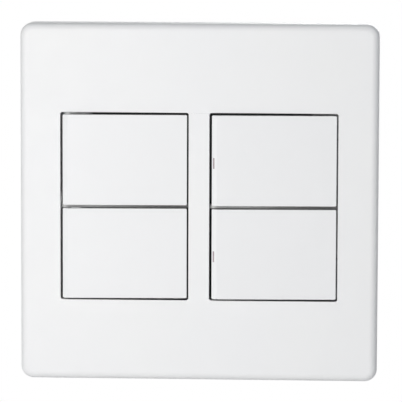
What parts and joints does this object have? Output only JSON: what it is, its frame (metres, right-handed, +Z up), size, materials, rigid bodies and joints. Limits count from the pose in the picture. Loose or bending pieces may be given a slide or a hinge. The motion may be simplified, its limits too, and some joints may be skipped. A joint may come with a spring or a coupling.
{
  "type": "four-gang light switch",
  "caption": "Square wall plate with rocker keys over snap-acting see-saw contacts, a steel support frame and a housing with push-in terminals.",
  "frame": {"origin": "centre of the two fixing slots, in the plane of the wall, which is the rear face of the support frame", "axes": "+X to the right seen from the front, +Y into the wall along the fixing screws, +Z up; the keys face -Y"},
  "size_m": [0.086, 0.0254, 0.086],
  "materials": {
    "plate_plastic": "satin-gloss moulded, white",
    "key_plastic": "satin-gloss moulded, white",
    "mark_ink": "printed, warm grey",
    "mechanism_plastic": "moulded, dark grey",
    "dolly_plastic": "moulded, off-white",
    "plunger_plastic": "moulded, natural",
    "housing_plastic": "moulded, pale grey",
    "zinc_plated_steel": "zinc plated, rolled",
    "screw_steel": "zinc plated",
    "leaf_steel": "bright strip",
    "spring_steel": "drawn wire",
    "blade_copper": "stamped copper strip",
    "contact_silver": "silver alloy",
    "terminal_brass": "stamped, tumbled"
  },
  "bodies": {
    "root": {"front_plate": "plate_plastic", "support_frame": "zinc_plated_steel", "mechanism_cover": "mechanism_plastic", "rear_housing": "housing_plastic", "assembly_screws": "screw_steel", "common_terminal_upper_left": "terminal_brass", "way_one_terminal_upper_left": "terminal_brass", "way_two_terminal_upper_left": "terminal_brass", "fixed_contacts_upper_left": "contact_silver", "clamp_leaves_upper_left": "leaf_steel", "common_terminal_upper_right": "terminal_brass", "way_one_terminal_upper_right": "terminal_brass", "way_two_terminal_upper_right": "terminal_brass", "fixed_contacts_upper_right": "contact_silver", "clamp_leaves_upper_right": "leaf_steel", "common_terminal_lower_left": "terminal_brass", "way_one_terminal_lower_left": "terminal_brass", "way_two_terminal_lower_left": "terminal_brass", "fixed_contacts_lower_left": "contact_silver", "clamp_leaves_lower_left": "leaf_steel", "common_terminal_lower_right": "terminal_brass", "way_one_terminal_lower_right": "terminal_brass", "way_two_terminal_lower_right": "terminal_brass", "fixed_contacts_lower_right": "contact_silver", "clamp_leaves_lower_right": "leaf_steel"},
    "rocker_upper_left": {"key_upper_left": "key_plastic", "dolly_upper_left": "dolly_plastic", "plunger_spring_upper_left": "spring_steel"},
    "plunger_body_upper_left": {"plunger_upper_left": "plunger_plastic"},
    "see_saw_upper_left": {"contact_blade_upper_left": "blade_copper", "moving_contacts_upper_left": "contact_silver"},
    "rocker_upper_right": {"key_upper_right": "key_plastic", "dolly_upper_right": "dolly_plastic", "plunger_spring_upper_right": "spring_steel", "on_mark_upper_right": "mark_ink"},
    "plunger_body_upper_right": {"plunger_upper_right": "plunger_plastic"},
    "see_saw_upper_right": {"contact_blade_upper_right": "blade_copper", "moving_contacts_upper_right": "contact_silver"},
    "rocker_lower_left": {"key_lower_left": "key_plastic", "dolly_lower_left": "dolly_plastic", "plunger_spring_lower_left": "spring_steel"},
    "plunger_body_lower_left": {"plunger_lower_left": "plunger_plastic"},
    "see_saw_lower_left": {"contact_blade_lower_left": "blade_copper", "moving_contacts_lower_left": "contact_silver"},
    "rocker_lower_right": {"key_lower_right": "key_plastic", "dolly_lower_right": "dolly_plastic", "plunger_spring_lower_right": "spring_steel", "on_mark_lower_right": "mark_ink"},
    "plunger_body_lower_right": {"plunger_lower_right": "plunger_plastic"},
    "see_saw_lower_right": {"contact_blade_lower_right": "blade_copper", "moving_contacts_lower_right": "contact_silver"}
  },
  "joints": [
    {"name": "key_rock_upper_left", "type": "hinge", "parent": "root", "child": "rocker_upper_left", "pos_m": [-0.0179, -0.00545, 0.01035], "axis": [0, 0, -1], "range_deg": [0, 5]},
    {"name": "plunger_slide_upper_left", "type": "slide", "parent": "rocker_upper_left", "child": "plunger_body_upper_left", "axis": [0.0436, -0.999, 0], "range_m": [0, 0.0005], "stiffness_N_per_m": 600, "deforming": ["plunger_spring_upper_left"]},
    {"name": "see_saw_rock_upper_left", "type": "hinge", "parent": "root", "child": "see_saw_upper_left", "pos_m": [-0.0179, 0.0061, 0.01035], "axis": [0, 0, 1], "range_deg": [0, 12]},
    {"name": "key_rock_upper_right", "type": "hinge", "parent": "root", "child": "rocker_upper_right", "pos_m": [0.0179, -0.00545, 0.01035], "axis": [0, 0, -1], "range_deg": [0, 5]},
    {"name": "plunger_slide_upper_right", "type": "slide", "parent": "rocker_upper_right", "child": "plunger_body_upper_right", "axis": [0.0436, -0.999, 0], "range_m": [0, 0.0005], "stiffness_N_per_m": 600, "deforming": ["plunger_spring_upper_right"]},
    {"name": "see_saw_rock_upper_right", "type": "hinge", "parent": "root", "child": "see_saw_upper_right", "pos_m": [0.0179, 0.0061, 0.01035], "axis": [0, 0, 1], "range_deg": [0, 12]},
    {"name": "key_rock_lower_left", "type": "hinge", "parent": "root", "child": "rocker_lower_left", "pos_m": [-0.0179, -0.00545, -0.01215], "axis": [0, 0, -1], "range_deg": [0, 5]},
    {"name": "plunger_slide_lower_left", "type": "slide", "parent": "rocker_lower_left", "child": "plunger_body_lower_left", "axis": [0.0436, -0.999, 0], "range_m": [0, 0.0005], "stiffness_N_per_m": 600, "deforming": ["plunger_spring_lower_left"]},
    {"name": "see_saw_rock_lower_left", "type": "hinge", "parent": "root", "child": "see_saw_lower_left", "pos_m": [-0.0179, 0.0061, -0.01215], "axis": [0, 0, 1], "range_deg": [0, 12]},
    {"name": "key_rock_lower_right", "type": "hinge", "parent": "root", "child": "rocker_lower_right", "pos_m": [0.0179, -0.00545, -0.01215], "axis": [0, 0, -1], "range_deg": [0, 5]},
    {"name": "plunger_slide_lower_right", "type": "slide", "parent": "rocker_lower_right", "child": "plunger_body_lower_right", "axis": [0.0436, -0.999, 0], "range_m": [0, 0.0005], "stiffness_N_per_m": 600, "deforming": ["plunger_spring_lower_right"]},
    {"name": "see_saw_rock_lower_right", "type": "hinge", "parent": "root", "child": "see_saw_lower_right", "pos_m": [0.0179, 0.0061, -0.01215], "axis": [0, 0, 1], "range_deg": [0, 12]}
  ],
  "couplings": [
    {"joint": "see_saw_rock_upper_left", "follows": "key_rock_upper_left", "ratio": 2.4},
    {"joint": "see_saw_rock_upper_right", "follows": "key_rock_upper_right", "ratio": 2.4},
    {"joint": "see_saw_rock_lower_left", "follows": "key_rock_lower_left", "ratio": 2.4},
    {"joint": "see_saw_rock_lower_right", "follows": "key_rock_lower_right", "ratio": 2.4}
  ]
}
